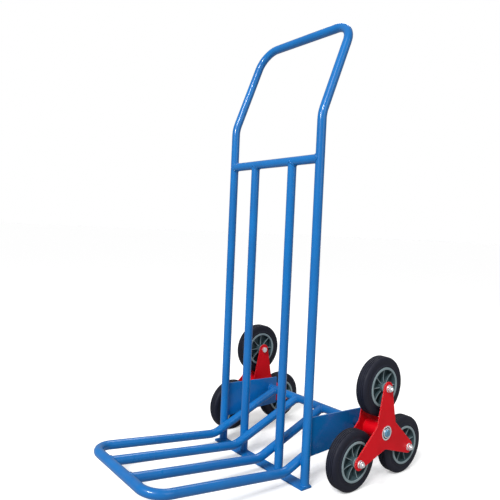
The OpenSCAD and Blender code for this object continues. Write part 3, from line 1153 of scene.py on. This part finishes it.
@dataclass
class AxleEnds:
    """The axle rod with its dressed ends, and the washers and split pins that keep the stars on it."""

    paint: Paintbox
    chamfer: float = 1.4 * MM
    dome: float = 0.5 * MM
    mark_r: float = 1.6 * MM
    mark_deep: float = 1.2 * MM
    mark_tip: float = 0.15 * MM
    rim_wide: float = 4.0 * MM
    rim_low: float = 1.2 * MM
    groove_wide: float = 2.9 * MM
    groove_deep: float = 2.6 * MM
    pin_wire: float = 0.5 * MM
    # A split pin's leg from its tip in: the share of its reach, and its rise in wire radii.
    leg_bends: Section = ((1.0, 3.4), (0.7, 1.6), (0.4, 2.2))
    eye_steps: int = 16

    def build(self) -> None:
        """Builds the rod, the two retaining washers and the two split pins."""
        self._rod()
        for side in Side:
            self._washer(side)
            self._pin(side)

    def _rod(self) -> None:
        """Builds the axle: a rod with domed, chamfered ends and a centre mark in each."""
        low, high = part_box("axle")
        r = (high.z - low.z) / 2
        centre = middle("axle")
        half = high.x
        dome, mark, cut = self.dome, self.mark_r, self.chamfer
        end = [(half - self.mark_deep, self.mark_tip), (half - dome, mark), (half - dome * 0.6, mark * 1.6)]
        end += [(half, r * 0.45), (half - dome * 0.3, r - cut), (half - 0.6 * cut, r - 0.35 * cut)]
        end += [(half - cut, r)]
        stations = [(-x, radius) for x, radius in end] + [(x, radius) for x, radius in reversed(end)]
        mesh = rod("axle_rod", stations, lambda along, radius, angle: radius)
        place = Matrix.Translation((0, centre.y, centre.z))
        piece = Piece("axle_rod", "frame", "frame_blue", (self.paint.axle_steel,), ("axle",))
        piece.place(shaded(mesh), place)

    def _washer(self, side: Side) -> None:
        """Builds a retaining washer: a bright flat rim, a groove in near-black painted shade and a bright,
        higher collar.
        """
        node = f"axle_washer_{side.tag}"
        low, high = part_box(node)
        centre = middle(node)
        thick = high.x - low.x
        r = (high.z - low.z) / 2
        offsets = [v.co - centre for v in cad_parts[node].data.vertices]
        bore = min(math.hypot(offset.y, offset.z) for offset in offsets)
        rim = r - self.rim_wide
        collar = rim - self.groove_wide
        out, inner = thick / 2, -thick / 2
        floor = out - self.groove_deep
        low_face = out - self.rim_low
        corners = [(inner, bore), (inner, r), (low_face, r), (low_face, rim), (floor, rim - 0.3 * MM)]
        corners += [(floor, collar + 0.3 * MM), (out, collar), (out, bore)]
        mesh = turned(f"retaining_washer_{side.tag}", rounded(corners, 0.5 * MM), 96)
        mesh.materials.append(self.paint.zinc)
        mesh.materials.append(self.paint.nylon_and_shade)
        # The groove's faces take the near-black finish: painted shade in the groove.
        for face in mesh.polygons:
            radius = math.hypot(face.center.y, face.center.z)
            in_groove = collar - 0.1 * MM < radius < rim + 0.1 * MM
            face.material_index = int(in_groove and inner + 0.2 * MM < face.center.x < low_face - 0.4 * MM)
        place = Matrix.Translation(centre) @ Matrix.Rotation(math.radians(90 - 90 * side.value), 4, "Z")
        Piece(mesh.name, "frame", "zinc", (), (node,)).place(shaded(mesh), place)

    def _pin(self, side: Side) -> None:
        """Builds a split pin: wire in an eye above the axle, two shanks and two opened legs."""
        node = f"split_pin_{side.tag}"
        low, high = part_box(node)
        axle = middle("axle")
        x = (low.x + high.x) / 2
        wire = self.pin_wire
        top = high.z - wire
        eye_r = (high.x - low.x) * 0.75
        reach = high.y - axle.y - wire
        eye = Vector((x, axle.y, top - eye_r))
        shanks = []
        for sign in (-1, 1):
            leg = [(sign * reach * share, low.z + wire * rise) for share, rise in self.leg_bends]
            leg += [(sign * wire, low.z + wire * 5.0), (sign * wire, eye.z - eye_r - wire)]
            shanks.append([Vector((x, axle.y + y, z)) for y, z in leg])
        arc = []
        for k in range(self.eye_steps + 1):
            angle = math.radians(-62 - 296 * k / self.eye_steps)
            arc.append(eye + Vector((0, -eye_r * math.cos(angle), eye_r * math.sin(angle))))
        route = shanks[0] + arc + list(reversed(shanks[1]))
        mesh = swept(f"cotter_pin_{side.tag}", route, [wire] * len(route), closed=False, sides=12)
        Piece(mesh.name, "frame", "zinc", (self.paint.zinc,), (node,)).place(shaded(mesh, 60.0))


# ---- Star clusters ----


@dataclass
class StarCluster:
    """One side's cluster: its packed plates, hub and bushes get their finish, and its hub its weld beads."""

    side: Side
    paint: Paintbox
    plate_edge: float = 0.7 * MM
    bead: Bead = field(default_factory=lambda: Bead(radius=2.2 * MM, pitch=2.2 * MM))

    def dress(self) -> None:
        """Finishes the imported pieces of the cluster."""
        tag = self.side.tag
        for node in (f"star_outer_{tag}", f"star_inner_{tag}"):
            Trim(self.plate_edge).dress(node, self.paint.red)
        Trim().dress(f"hub_tube_{tag}", self.paint.red)
        Trim().dress(f"hub_bushes_{tag}", self.paint.nylon_and_shade)
        Trim().dress(f"wheel_spacers_{tag}", self.paint.zinc)

    def build(self) -> None:
        """Lays the two beads that join the hub tube to the plates."""
        tag = self.side.tag
        node = f"hub_tube_{tag}"
        low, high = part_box(node)
        centre = middle(node)
        r = (high.z - low.z) / 2
        for label, x in (("low", low.x), ("high", high.x)):
            ring = [Vector((x, centre.y + a, centre.z + b)) for a, b in circle(r, 64)]
            mesh = shaded(self.bead.along(f"weld_hub_{label}_{tag}", ring, closed=True), 80.0)
            Piece(mesh.name, f"star_{tag}", "star_red", (self.paint.red,)).place(mesh)


# ---- Wheels ----


@dataclass
class Wheels:
    """The six wheels: a solid rubber tyre on a ribbed rim, with a steel bush in its hub."""

    paint: Paintbox
    groove_n: int = 4
    groove_w: float = 2.4 * MM
    groove_deep: float = 2.0 * MM
    shoulder: float = 12.0 * MM
    shoulder_n: int = 12
    ring_wall: float = 6.5 * MM
    web: float = 4.0 * MM
    hub_wall: float = 6.0 * MM
    rib_n: int = 8
    rib_t: float = 2.4 * MM
    rib_inset: float = 4.0 * MM
    rib_dip: float = 2.5 * MM
    # Offsets in millimetres of the side's points: the dished wall, the moulded line and the bead's round.
    wall_points: Section = ((-0.1, -2.0), (-0.5, -4.0))
    line_points: Section = ((-0.3, 7.0), (0.4, 5.8))
    bead_points: Section = (
        (-0.5, 4.9), (-0.1, 4.3), (0.0, 3.6), (-0.1, 2.6),
        (-0.6, 1.9), (-1.5, 1.3), (-2.0, 0.6), (-2.1, -0.3),
    )

    def __post_init__(self) -> None:
        """Reads the wheels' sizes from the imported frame."""
        tyre, rim, bush = (extent(f"{part}_right_top") for part in ("tyre", "rim", "wheel_bush"))
        self.tyre_r, self.bead_w = tyre.z / 2, tyre.x
        self.hub_w, self.rim_r = rim.x, rim.z / 2
        self.bush_r = bush.z / 2
        self.ring_w = self._width_beyond("rim_right_top", self.rim_r - 0.1 * MM)
        self.tyre_w = self._width_beyond("tyre_right_top", self.tyre_r - self.shoulder - 1.0 * MM)

    def _width_beyond(self, node: str, radius: float) -> float:
        """Returns the width of a wheel's node counting only what lies beyond a radius."""
        centre = middle(node)
        offsets = [vertex.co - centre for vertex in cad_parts[node].data.vertices]
        outer = [offset.x for offset in offsets if math.hypot(offset.y, offset.z) > radius]
        return max(outer) - min(outer)

    def build(self) -> None:
        """Builds one tyre and one rim and places them at every arm of both stars."""
        tyre, rim = self._tyre(), self._rim()
        for side in Side:
            for arm in Arm:
                tag = f"{side.tag}_{arm.tag}"
                body = f"wheel_{tag}"
                flip = Matrix.Rotation(math.radians(90 - 90 * side.value), 4, "Z")
                turn = Matrix.Rotation(math.radians(arm.wheel_turn - arm.value) * side.value, 4, "X")
                place = Matrix.Translation(middle(f"tyre_{tag}")) @ flip
                piece = Piece(f"solid_tyre_{tag}", body, "tyre", (self.paint.rubber,), (f"tyre_{tag}",))
                piece.place(tyre, place)
                place = Matrix.Translation(middle(f"rim_{tag}")) @ flip @ turn
                piece = Piece(f"ribbed_rim_{tag}", body, "rim_grey", (), (f"rim_{tag}",))
                piece.place(rim, place)
                Trim().dress(f"wheel_bush_{tag}", self.paint.zinc)

    def _tread(self) -> list[tuple[float, float]]:
        """Returns half of the tyre's outer line, from the middle of the tread out to the rim."""
        r, half, s = self.tyre_r, self.tyre_w / 2, self.shoulder
        pitch = self.tyre_w / (self.groove_n + 2)
        line = [(0.0, r)]
        lip, slope, foot = 0.35 * MM, 0.2 * MM, 0.5 * MM
        floor = r - self.groove_deep
        for i in range(self.groove_n // 2):
            mid = (i + 0.5) * pitch
            near, far = mid - self.groove_w / 2, mid + self.groove_w / 2
            line += [(near - lip, r), (near, r - 0.3 * lip), (near + slope, floor + slope)]
            line += [(near + foot, floor), (far - foot, floor)]
            line += [(far - slope, floor + slope), (far, r - 0.3 * lip), (far + lip, r)]
        start = max(half - s, line[-1][0] + slope)
        for k in range(1, self.shoulder_n + 1):
            angle = math.radians(90 * k / self.shoulder_n)
            along = start + (half - start) * math.sin(angle)
            line.append((along, r - s + s * math.cos(angle)))
        wall, line_at, bead = (half, r - s), (half, self.rim_r), (self.bead_w / 2, self.rim_r)
        sides = ((wall, self.wall_points), (line_at, self.line_points), (bead, self.bead_points))
        for (along, radius), points in sides:
            line += [(along + out * MM, radius + up * MM) for out, up in points]
        return line

    def _tyre(self) -> bpy.types.Mesh:
        """Returns the tyre: a grooved tread, round shoulders, a dished wall and a bead against the rim."""
        half = self._tread()
        section = [(-along, r) for along, r in reversed(half[1:])] + half
        return shaded(turned("solid_tyre", section, 144), 34.0)

    def _rim(self) -> bpy.types.Mesh:
        """Returns the rim: ring, web and hub in one turning, and ribs on both faces."""
        ring_in = self.rim_r - self.ring_wall
        hub_r, bore = self.bush_r + self.hub_wall, self.bush_r
        half, web, hub = self.ring_w / 2, self.web / 2, self.hub_w / 2
        outer = [(half, self.rim_r), (half, ring_in), (web, ring_in - 1.0 * MM), (web, hub_r + 1.5 * MM)]
        outer += [(hub, hub_r), (hub, bore)]
        section = outer + [(-along, r) for along, r in reversed(outer)]
        mesh = turned("ribbed_rim", rounded(section, 1.2 * MM, 4), 144)
        mesh.materials.append(self.paint.rim)
        mesh.materials.append(self.paint.recess)
        # Web faces between hub and ring take the darker recess finish: painted shade.
        for face in mesh.polygons:
            radius = math.hypot(face.center.y, face.center.z)
            inside = hub_r + 0.6 * MM < radius < ring_in + 0.3 * MM
            face.material_index = int(inside and abs(face.center.x) < half - 1.4 * MM)
        build = bmesh.new()
        build.from_mesh(mesh)
        for k in range(self.rib_n):
            for face in (-1, 1):
                self._rib(build, math.tau * k / self.rib_n, face, hub_r, ring_in)
        bmesh.ops.recalc_face_normals(build, faces=build.faces)
        build.to_mesh(mesh)
        build.free()
        return shaded(mesh, 34.0)

    def _rib(self, build: bmesh.types.BMesh, angle: float, face: int, hub_r: float, ring_in: float) -> None:
        """Adds a rib on one face of the rim: a tapered wall in the recess's painted shade, with a light
        rounded crest that dips midway.

        Args:
            build: The rim being built.
            angle: The rib's angle round the wheel.
            face: Which face of the rim, as a sign.
            hub_r: Radius of the hub that it starts at.
            ring_in: Inner radius of the ring that it ends at.
        """
        foot = self.web / 2 - 0.4 * MM
        crest = self.ring_w / 2 - self.rib_inset
        start, end, count = hub_r - 1.0 * MM, ring_in + 1.0 * MM, 8
        wide, thin = self.rib_t * 0.7, self.rib_t * 0.5
        # These side faces take the recess finish: painted shade on the rib walls.
        walls = (0, 5, 6)
        turn = Matrix.Rotation(angle, 4, "X")
        rings = []
        for k in range(count + 1):
            t = k / count
            top = crest - self.rib_dip * math.sin(math.pi * t)
            half = [(foot, wide), (top - 0.8 * MM, thin), (top - 0.2 * MM, thin * 0.7)]
            section = [(along, -side) for along, side in half] + [(top, 0.0)] + half[::-1]
            r = start + (end - start) * t
            ring = [build.verts.new(turn @ Vector((face * along, side, r))) for along, side in section]
            rings.append(ring)
        for cap in (rings[0], rings[-1]):
            build.faces.new(cap)
        for here, there in zip(rings, rings[1:]):
            for i in range(len(here)):
                j = (i + 1) % len(here)
                made = build.faces.new((here[i], here[j], there[j], there[i]))
                made.material_index = int(i in walls)


# ---- Studio ----


@dataclass(frozen=True)
class Viewpoint:
    """Where the camera stands, what it looks at and how it is held."""

    azimuth: float = 51.4
    elevation: float = 1.995
    roll: float = 2.498
    distance: float = 1.5599
    target: tuple[float, float, float] = (-0.03568, -0.04468, 0.62767)
    lens: float = 38.28
    sensor: float = 36.0

    def build(self) -> None:
        """Makes the camera and hands it to the scene."""
        roll = math.radians(self.roll)
        back = outward(self.azimuth, self.elevation)
        level = (-back).cross(Vector((0, 0, 1))).normalized()
        upright = level.cross(-back)
        right = level * math.cos(roll) + upright * math.sin(roll)
        up = upright * math.cos(roll) - level * math.sin(roll)
        pose = Matrix((right, up, back)).transposed().to_4x4()
        pose.translation = Vector(self.target) + back * self.distance
        lens = bpy.data.cameras.new("camera")
        lens.lens = self.lens
        lens.sensor_width = self.sensor
        camera = bpy.data.objects.new("camera", lens)
        bpy.context.scene.collection.objects.link(camera)
        camera.matrix_world = pose
        bpy.context.scene.camera = camera


def hang(data: bpy.types.Light, away: Vector, at: Vector) -> None:
    """Adds a light to the scene.

    Args:
        data: The light's settings, which also give it its name.
        away: Unit vector from the truck towards the light; it shines the other way.
        at: Where it hangs.
    """
    light = bpy.data.objects.new(data.name, data)
    bpy.context.scene.collection.objects.link(light)
    light.location = at
    light.rotation_mode = "QUATERNION"
    light.rotation_quaternion = (-away).to_track_quat("-Z", "Y")


@dataclass(frozen=True)
class Softbox:
    """A square area light aimed at the middle of the truck."""

    name: str
    azimuth: float
    elevation: float
    distance: float
    size: float
    power: float
    aim: tuple[float, float, float] = (0.0, 0.0, 0.55)

    def build(self) -> None:
        """Makes the light."""
        away = outward(self.azimuth, self.elevation)
        data = bpy.data.lights.new(self.name, "AREA")
        data.shape = "SQUARE"
        data.size = self.size
        data.energy = self.power
        hang(data, away, Vector(self.aim) + away * self.distance)


@dataclass
class Studio:
    """A plain pale floor under soft light."""

    floor_shade: float = 0.90
    floor_bounce: float = 0.42
    floor_glow: float = 0.34
    sky: float = 0.34
    backdrop: float = 1.0
    floor_size: float = 400.0
    sun_azimuth: float = 26.0
    sun_elevation: float = 42.0
    sun_power: float = 1.8
    sun_softness: float = 14.0
    lights: tuple[Softbox, ...] = (
        Softbox("key_light", 12.0, 30.0, 3.0, 0.4, 42.0),
        Softbox("fill_light", 98.0, 24.0, 3.4, 2.0, 16.0),
        Softbox("rim_light", 215.0, 50.0, 3.4, 1.2, 24.0),
    )

    def build(self) -> None:
        """Makes the floor, the surroundings and the lights."""
        bpy.context.scene.view_settings.view_transform = "Standard"
        self._floor()
        self._surroundings()
        self._sun()
        for light in self.lights:
            light.build()

    def _floor(self) -> None:
        """Makes the floor, a little below the truck's lowest point so that the two don't touch."""
        build = bmesh.new()
        bmesh.ops.create_grid(build, x_segments=2, y_segments=2, size=self.floor_size / 2)
        mesh = bpy.data.meshes.new("floor")
        build.to_mesh(mesh)
        build.free()
        material = bpy.data.materials.new("pale_floor")
        material.use_nodes = True
        graph = Graph(material.node_tree)
        surface = graph.add("BsdfPrincipled", Roughness=0.9)
        surface.inputs["Specular IOR Level"].default_value = 0.0
        surface.inputs["Emission Color"].default_value = (1.0, 1.0, 1.0, 1.0)
        output = graph.add("OutputMaterial")
        ray = graph.add("LightPath").outputs["Is Camera Ray"]
        bounce, seen = ((level, level, level) for level in (self.floor_bounce, self.floor_shade))
        graph.join(graph.blend(ray, bounce, seen), surface.inputs["Base Color"])
        graph.join(graph.math("MULTIPLY", ray, self.floor_glow), surface.inputs["Emission Strength"])
        graph.join(surface.outputs[0], output.inputs["Surface"])
        mesh.materials.append(material)
        floor = bpy.data.objects.new("floor", mesh)
        floor.location.z = CAD_BOX[0].z - 0.2 * MM
        bpy.context.scene.collection.objects.link(floor)

    def _sun(self) -> None:
        """Makes the soft main light, which falls evenly on the whole floor."""
        data = bpy.data.lights.new("main_light", "SUN")
        data.energy = self.sun_power
        data.angle = math.radians(self.sun_softness)
        hang(data, outward(self.sun_azimuth, self.sun_elevation), Vector())

    def _surroundings(self) -> None:
        """Lights the scene evenly from all round, and shows a white backdrop behind it."""
        world = bpy.data.worlds.new("studio")
        bpy.context.scene.world = world
        world.use_nodes = True
        graph = Graph(world.node_tree)
        seen = graph.add("Background", Strength=self.backdrop)
        lit = graph.add("Background", Strength=self.sky)
        for node in (seen, lit):
            node.inputs["Color"].default_value = (1.0, 1.0, 1.0, 1.0)
        ray = graph.add("LightPath")
        mix = graph.add("MixShader")
        output = graph.add("OutputWorld")
        graph.join(ray.outputs["Is Camera Ray"], mix.inputs[0])
        graph.join(lit.outputs[0], mix.inputs[1])
        graph.join(seen.outputs[0], mix.inputs[2])
        graph.join(mix.outputs[0], output.inputs["Surface"])


def main() -> None:
    """Builds the studio and then the truck, sub-assembly by sub-assembly."""
    logging.basicConfig(level=logging.INFO, format="%(message)s")
    Viewpoint().build()
    Studio().build()
    paint = Paintbox()
    WeldedFrame(paint).dress()
    Welds(paint.blue).build()
    AxleEnds(paint).build()
    for side in Side:
        cluster = StarCluster(side, paint)
        cluster.dress()
        cluster.build()
        Fasteners(side, paint).build()
    Wheels(paint).build()


if __name__ == "__main__":
    main()
